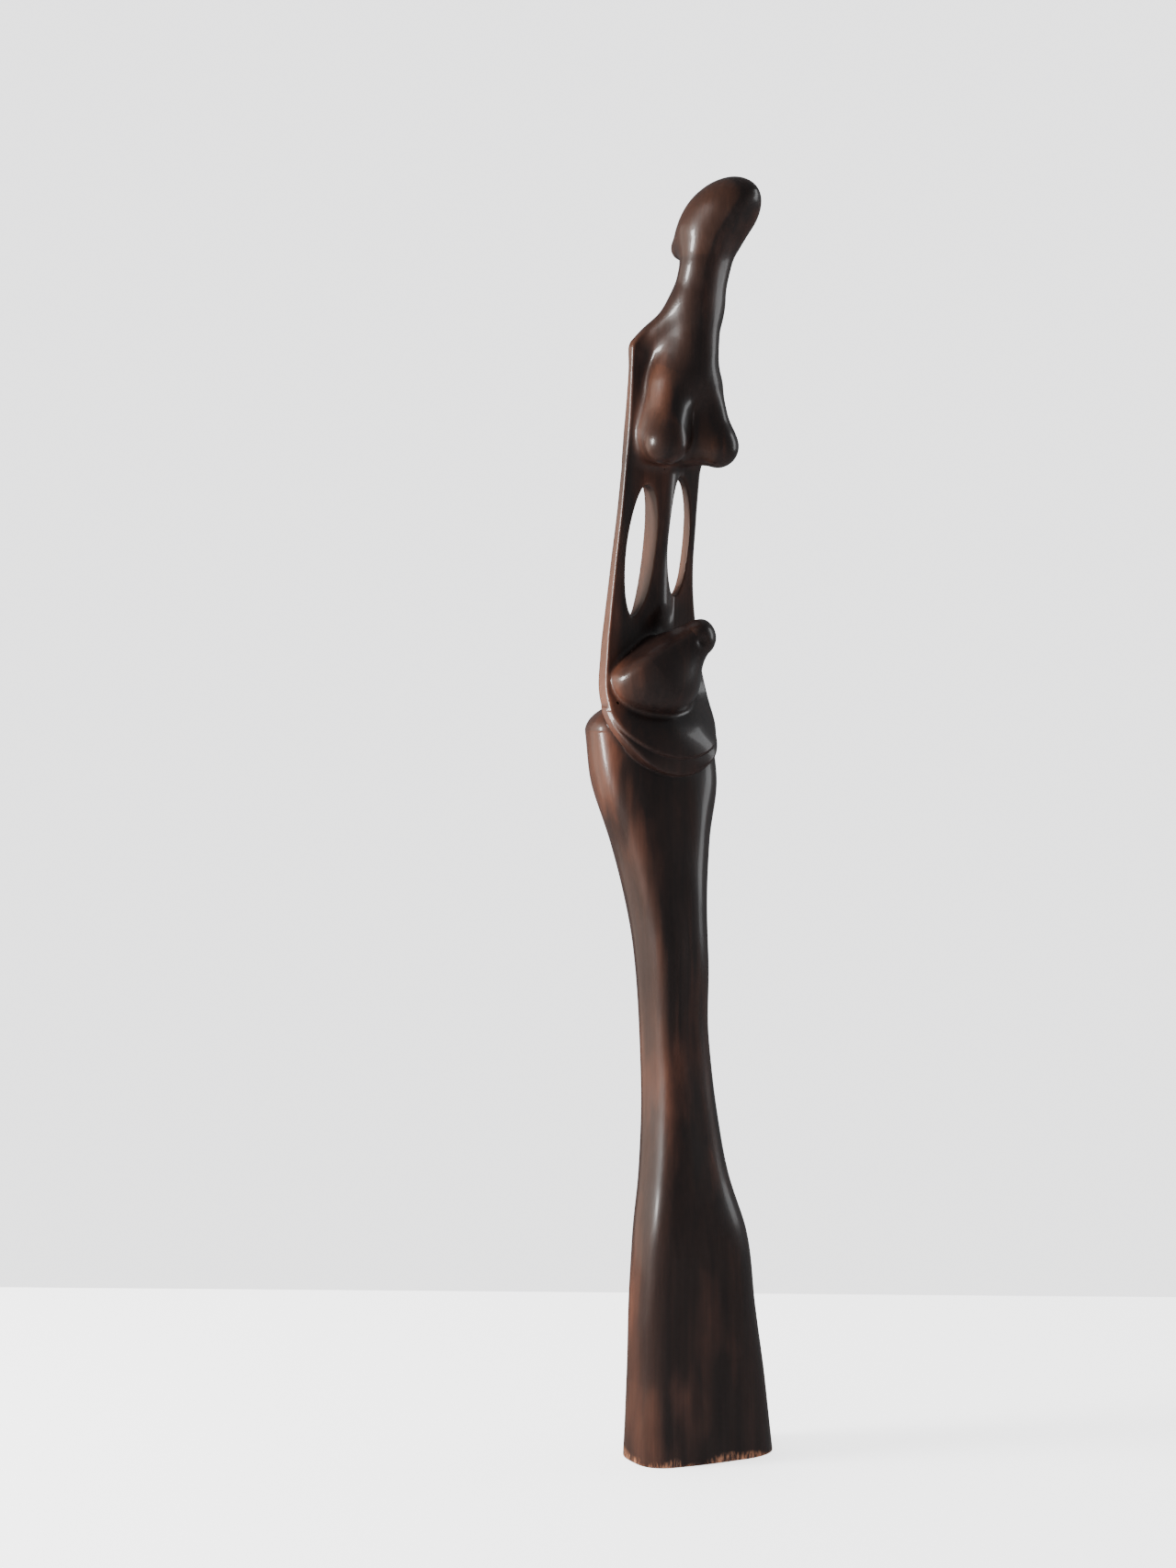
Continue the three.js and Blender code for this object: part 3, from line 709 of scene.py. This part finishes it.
# The fields that the wood is made of: scale, stretch along x, y and z, detail, roughness, warp, offset.
GRAIN = {
    "patch": (15, (1.6, 1.6, 0.50), 3, 0.5, 0.3, 3.0),
    "streak": (60, (3.2, 3.2, 0.12), 5, 0.6, 0.15, 1.0),
    "fibre": (260, (4.0, 4.0, 0.08), 4, 0.6, 0.05, 5.0),
    "mottle": (42, (1.3, 1.3, 0.5), 3, 0.5, 0.3, 9.0),
    "pores": (900, (3.0, 3.0, 0.12), 2, 0.5, 0.0, 2.0),
    "scuff": (420, (1.0, 1.0, 0.22), 3, 0.7, 1.5, 7.0),
}

# Gloss of the polish, and depth of the grain in metres.
BASE_ROUGHNESS = 0.36
SPECULAR_LEVEL = 0.4
COAT_WEIGHT = 0.42
COAT_ROUGHNESS = 0.13
REFRACTION = 1.5
BUMP_STRENGTH = 0.40
BUMP_DEPTH = 0.0006


def grey(value):
    return (value, value, value)


class WoodNodes:
    """The shader nodes of one wood, and the fields that its colour and gloss are worked out from."""

    def __init__(self, name):
        self.material = bpy.data.materials.new(name)
        self.material.use_nodes = True
        self.tree = self.material.node_tree
        self.tree.nodes.clear()
        coordinates = self.add("ShaderNodeTexCoord").outputs
        self.place = self.split(coordinates["Object"])
        self.facing = self.split(coordinates["Normal"])
        self.edge = self.attribute("edge")
        self.hollow = self.attribute("hollow")
        for field, settings in GRAIN.items():
            setattr(self, field, self.noise(coordinates["Object"], *settings))

    def add(self, kind):
        return self.tree.nodes.new(kind)

    def feed(self, value, socket):
        """Sets a socket to a number or a colour, or links another node's output to it."""
        if isinstance(value, (int, float)):
            socket.default_value = value
        elif isinstance(value, tuple):
            socket.default_value = (*value, 1)
        else:
            self.tree.links.new(value, socket)

    def split(self, vector):
        made = self.add("ShaderNodeSeparateXYZ")
        self.feed(vector, made.inputs[0])
        return made.outputs

    def attribute(self, name):
        made = self.add("ShaderNodeAttribute")
        made.attribute_name = name
        return made.outputs["Fac"]

    def noise(self, coordinates, scale, stretch, detail, rough, warp, offset):
        mapping = self.add("ShaderNodeMapping")
        mapping.inputs["Scale"].default_value = stretch
        mapping.inputs["Location"].default_value = (offset, offset * 0.7, offset * 1.3)
        self.feed(coordinates, mapping.inputs["Vector"])
        made = self.add("ShaderNodeTexNoise")
        made.inputs["Scale"].default_value = scale
        made.inputs["Detail"].default_value = detail
        made.inputs["Roughness"].default_value = rough
        made.inputs["Distortion"].default_value = warp
        self.feed(mapping.outputs[0], made.inputs["Vector"])
        return made.outputs["Fac"]

    def calculate(self, operation, a, b, clamp=False):
        made = self.add("ShaderNodeMath")
        made.operation = operation
        made.use_clamp = clamp
        self.feed(a, made.inputs[0])
        self.feed(b, made.inputs[1])
        return made.outputs[0]

    def times(self, a, b, clamp=False):
        return self.calculate("MULTIPLY", a, b, clamp)

    def plus(self, a, b):
        return self.calculate("ADD", a, b)

    def minus(self, a, b):
        return self.calculate("SUBTRACT", a, b)

    def swing(self, field, size):
        """A field moved to vary about zero, and scaled."""
        return self.times(self.minus(field, 0.5), size)

    def ramp(self, value, *stops):
        made = self.add("ShaderNodeValToRGB")
        while len(made.color_ramp.elements) < len(stops):
            made.color_ramp.elements.new(0.5)
        for element, (at, colour) in zip(made.color_ramp.elements, stops):
            element.position = at
            element.color = (*colour, 1)
        self.feed(value, made.inputs[0])
        return made.outputs[0]

    def mix(self, factor, a, b, blend="MIX"):
        made = self.add("ShaderNodeMix")
        made.data_type = "RGBA"
        made.blend_type = blend
        live = [socket for socket in made.inputs if socket.enabled]
        self.feed(factor, next(socket for socket in live if socket.name == "Factor"))
        self.feed(a, next(socket for socket in live if socket.name == "A"))
        self.feed(b, next(socket for socket in live if socket.name == "B"))
        return next(socket for socket in made.outputs if socket.enabled)


def grain_and_lit_side_red(nodes, red_and_light_strength):
    """Dark streaks along the grain, with reddish wood in patches, and painted light: the red is pushed towards
    the figure's right, the side that faces the window.
    """
    base = nodes.ramp(nodes.streak, (0.36, DARK), (0.62, UMBER), (0.86, BROWN))
    patch_red_and_lit_place = nodes.plus(nodes.times(nodes.patch, 1.25), nodes.times(nodes.streak, 0.20))
    # Painted light: the red grows towards the figure's right, which faces the window light.
    patch_red_and_lit_place = nodes.plus(patch_red_and_lit_place, nodes.times(nodes.place["X"], -4.0))
    patch_red_and_lit_share = nodes.times(nodes.ramp(patch_red_and_lit_place, (0.78, BLACK), (1.0, WHITE)), 0.5 + 0.5 * red_and_light_strength)
    return nodes.mix(patch_red_and_lit_share, base, nodes.ramp(nodes.mottle, (0.35, BROWN), (0.7, RED)))


def painted_lit_side_tint(nodes, colour, red_and_light_strength):
    """Painted light: the surfaces that face the figure's right, towards the window, are painted paler tan,
    unevenly in patches.
    """
    lit_tint_share = nodes.times(nodes.minus(nodes.times(nodes.facing["X"], -1), 0.48), 2.0, clamp=True)
    lit_tint_share = nodes.times(lit_tint_share, nodes.ramp(nodes.patch, (0.36, grey(0.25)), (0.60, WHITE)))
    return nodes.mix(nodes.times(lit_tint_share, 0.02 + 0.55 * red_and_light_strength), colour, LIT_SIDE_TAN)


def fine_fibres(nodes, colour):
    fine = nodes.ramp(nodes.fibre, (0.3, (0.62, 0.60, 0.60)), (0.7, (1.18, 1.14, 1.10)))
    return nodes.mix(0.6, colour, fine, "MULTIPLY")


def worn_edges_and_painted_shade(nodes, colour, worn):
    """Rubbed red on the edges from wear, and painted shade that darkens the hollows."""
    uneven = nodes.ramp(nodes.mottle, (0.3, grey(0.15)), (0.7, WHITE))
    rubbed = nodes.times(nodes.edge, uneven, clamp=True)
    colour = nodes.mix(nodes.times(rubbed, 0.16 + 0.3 * worn), colour, RED)
    # Painted shade: the hollows are darkened towards near black.
    return nodes.mix(nodes.times(nodes.hollow, 0.7, clamp=True), colour, PAINTED_CREVICE_SHADE)


def chipped_rim(nodes, colour):
    """Bare wood in a ragged line along the lowest few millimetres, where the figure stands."""
    ragged = nodes.plus(nodes.place["Z"], nodes.swing(nodes.mottle, -0.016))
    rim = nodes.ramp(nodes.times(ragged, 100), (0.10, WHITE), (0.42, BLACK))
    chipped = nodes.times(rim, nodes.ramp(nodes.scuff, (0.46, BLACK), (0.60, WHITE)))
    return nodes.mix(chipped, colour, BARE)


def polish_roughness(nodes):
    rough = nodes.plus(BASE_ROUGHNESS, nodes.swing(nodes.mottle, 0.22))
    rough = nodes.plus(rough, nodes.swing(nodes.fibre, 0.16))
    return nodes.plus(rough, nodes.times(nodes.hollow, 0.18))


def grain_bump(nodes):
    height = nodes.plus(nodes.times(nodes.streak, 0.35), nodes.times(nodes.fibre, 0.15))
    height = nodes.plus(height, nodes.times(nodes.pores, 0.05))
    bump = nodes.add("ShaderNodeBump")
    bump.inputs["Strength"].default_value = BUMP_STRENGTH
    bump.inputs["Distance"].default_value = BUMP_DEPTH
    nodes.feed(height, bump.inputs["Height"])
    return bump.outputs["Normal"]


def wood(name, red_and_light_strength, worn):
    """Polished dark hardwood. The first number sets how much red shows through and how strong the painted
    light is on the side facing the window, worn how bare its edges are.
    """
    nodes = WoodNodes(name)
    colour = grain_and_lit_side_red(nodes, red_and_light_strength)
    # Painted light: paler tan on the side that faces the window.
    colour = painted_lit_side_tint(nodes, colour, red_and_light_strength)
    colour = fine_fibres(nodes, colour)
    # Worn red edges, and painted shade in the hollows.
    colour = worn_edges_and_painted_shade(nodes, colour, worn)
    colour = chipped_rim(nodes, colour)
    shader = nodes.add("ShaderNodeBsdfPrincipled")
    nodes.feed(colour, shader.inputs["Base Color"])
    nodes.feed(polish_roughness(nodes), shader.inputs["Roughness"])
    nodes.feed(grain_bump(nodes), shader.inputs["Normal"])
    shader.inputs["IOR"].default_value = REFRACTION
    shader.inputs["Specular IOR Level"].default_value = SPECULAR_LEVEL
    shader.inputs["Coat Weight"].default_value = COAT_WEIGHT
    shader.inputs["Coat Roughness"].default_value = COAT_ROUGHNESS
    shader.inputs["Coat IOR"].default_value = REFRACTION
    out = nodes.add("ShaderNodeOutputMaterial")
    nodes.feed(shader.outputs[0], out.inputs["Surface"])
    return nodes.material


WOODS = {
    "dark_wood": wood("dark_wood", red_and_light_strength=0.28, worn=0.1),
    "red_wood": wood("red_wood", red_and_light_strength=0.52, worn=0.25),
    "worn_wood": wood("worn_wood", red_and_light_strength=0.34, worn=1.0),
}
SLOTS = {row["node"]: row["material_slot"] for row in frame["record"]["subparts"]}


# ---------------------------------------------------------------- building the carving
EDGE_REACH = 1.6
EDGE_FULL = 1.1
HOLLOW_REACH = 3.0
HOLLOW_FULL = 2.6


def surface_facts(points, normals):
    """How sharp an edge, and how deep a hollow, each point lies on, from 0 to 1."""
    inner = carving(*(points - EDGE_REACH * normals).T) + EDGE_REACH
    outer = HOLLOW_REACH - carving(*(points + HOLLOW_REACH * normals).T)
    return np.clip(inner / EDGE_FULL, 0, 1), np.clip(outer / HOLLOW_FULL, 0, 1)


def store_fact(mesh, title, values):
    """Keeps one value for each surface point on the mesh, and 0 at the middle of each cap."""
    layer = mesh.attributes.new(title, "FLOAT", "POINT")
    held = np.zeros(len(mesh.vertices), np.float32)
    held[:len(values)] = values
    layer.data.foreach_set("value", held)


def build_piece(name, points, normals, faces, edge, hollow):
    """One section of the carving, standing in for the frame's node of the same name."""
    used = np.unique(faces)
    verts, norms, polys = section_mesh(points, normals, faces)
    mesh = bpy.data.meshes.new(name + "_carved")
    mesh.from_pydata([tuple(c * MM for c in v) for v in verts], [], polys)
    mesh.polygons.foreach_set("use_smooth", [True] * len(mesh.polygons))
    store_fact(mesh, "edge", edge[used])
    store_fact(mesh, "hollow", hollow[used])
    mesh.update()
    mesh.normals_split_custom_set_from_vertices(norms)
    piece = bpy.data.objects.new(name + "_carved", mesh)
    bpy.context.collection.objects.link(piece)
    mesh.materials.append(WOODS[SLOTS[name]])
    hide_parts(name)
    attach(piece, "root")


def build_carving():
    points, quads = surface_net(*sampled_field())
    points, normals = settle(points)
    edge, hollow = surface_facts(points, normals)
    label = smoothed_labels(section_of(points), quads, len(points))
    face_label = np.sort(label[quads], axis=1)[:, 1]
    for number, name in enumerate(NODES):
        build_piece(name, points, normals, quads[face_label == number], edge, hollow)


build_carving()


# ---------------------------------------------------------------- floor, light and camera
VIEW_TURN = math.radians(38)
CAMERA_FAR = 1.623
CAMERA_HIGH = 0.440
LENS = 63.0
SENSOR = 36.0
FLOOR_SIDE = 1.23
FLOOR_FAR = 0.45
FLOOR_COLOUR = (0.90, 0.90, 0.905)
FLOOR_GLOW = 2.3
WALL_BRIGHTNESS = 3.0
ROOM_BRIGHTNESS = 0.18


def seen(right, away, up):
    """A point stated from the figure as the camera sees it: to the right, away from the camera, up."""
    c, s = math.cos(VIEW_TURN), math.sin(VIEW_TURN)
    return right * c + away * s, -right * s + away * c, up


def turned_towards(place, aim):
    return (Vector(aim) - Vector(place)).to_track_quat("-Z", "Y").to_euler()


def floor_material():
    """A matt table top that glows, so that it is as pale as the wall behind it."""
    mat = bpy.data.materials.new("pale_table")
    mat.use_nodes = True
    shader = mat.node_tree.nodes["Principled BSDF"]
    shader.inputs["Base Color"].default_value = (*FLOOR_COLOUR, 1)
    shader.inputs["Roughness"].default_value = 0.6
    shader.inputs["Emission Color"].default_value = (*FLOOR_COLOUR, 1)
    shader.inputs["Emission Strength"].default_value = FLOOR_GLOW
    return mat


def make_floor():
    mesh = bpy.data.meshes.new("table_top")
    near = [(-FLOOR_SIDE, -FLOOR_SIDE, 0), (FLOOR_SIDE, -FLOOR_SIDE, 0)]
    far = [(FLOOR_SIDE, FLOOR_FAR, 0), (-FLOOR_SIDE, FLOOR_FAR, 0)]
    mesh.from_pydata(near + far, [], [(0, 1, 2, 3)])
    floor = bpy.data.objects.new("table_top", mesh)
    floor.rotation_euler[2] = -VIEW_TURN
    mesh.materials.append(floor_material())
    bpy.context.collection.objects.link(floor)
    floor.visible_glossy = False


def area_light(name, place, aim, size, power, colour=WHITE):
    data = bpy.data.lights.new(name, "AREA")
    data.shape = "RECTANGLE"
    data.size, data.size_y = size
    data.energy = power
    data.color = colour
    lamp = bpy.data.objects.new(name, data)
    lamp.location = place
    lamp.rotation_euler = turned_towards(place, aim)
    bpy.context.collection.objects.link(lamp)
    return lamp


def make_lights():
    """A window on the left, the wall and ceiling that it lights, and a faint fill from the right."""
    body = (0, 0, 0.40)
    window_place = seen(-1.70, -0.45, 0.74)
    area_light("window", window_place, body, (0.34, 0.56), 34, (1.0, 0.99, 0.97))
    spread = area_light("window_spread", window_place, body, (0.7, 1.0), 70)
    spread.visible_glossy = False
    area_light("left_wall", seen(-1.9, 0.5, 0.6), body, (2.0, 1.5), 9.0, (1.0, 0.86, 0.74))
    ceiling = area_light("ceiling", seen(-0.4, 0.5, 2.8), (0, 0.6, 0.0), (2.2, 2.2), 110)
    ceiling.visible_glossy = False
    area_light("room_fill", seen(1.6, 0.5, 0.9), body, (0.5, 1.2), 6, (0.96, 0.98, 1.0))


def make_world():
    """A dim even room, with a bright plain wall where the camera looks straight at the background."""
    world = bpy.data.worlds.new("pale_room")
    bpy.context.scene.world = world
    world.use_nodes = True
    tree = world.node_tree
    tree.nodes.clear()

    def background(colour, brightness):
        made = tree.nodes.new("ShaderNodeBackground")
        made.inputs["Color"].default_value = (*colour, 1)
        made.inputs["Strength"].default_value = brightness
        return made.outputs[0]

    both = tree.nodes.new("ShaderNodeMixShader")
    out = tree.nodes.new("ShaderNodeOutputWorld")
    tree.links.new(tree.nodes.new("ShaderNodeLightPath").outputs["Is Camera Ray"], both.inputs[0])
    tree.links.new(background((0.9, 0.92, 0.95), ROOM_BRIGHTNESS), both.inputs[1])
    tree.links.new(background((0.86, 0.86, 0.87), WALL_BRIGHTNESS), both.inputs[2])
    tree.links.new(both.outputs[0], out.inputs[0])


def make_camera():
    data = bpy.data.cameras.new("camera")
    data.lens = LENS
    data.sensor_width = SENSOR
    camera = bpy.data.objects.new("camera", data)
    camera.location = seen(0, -CAMERA_FAR, CAMERA_HIGH)
    camera.rotation_euler = turned_towards(camera.location, seen(-0.0652, 0, 0.398))
    bpy.context.collection.objects.link(camera)
    bpy.context.scene.camera = camera


make_floor()
make_lights()
make_world()
make_camera()
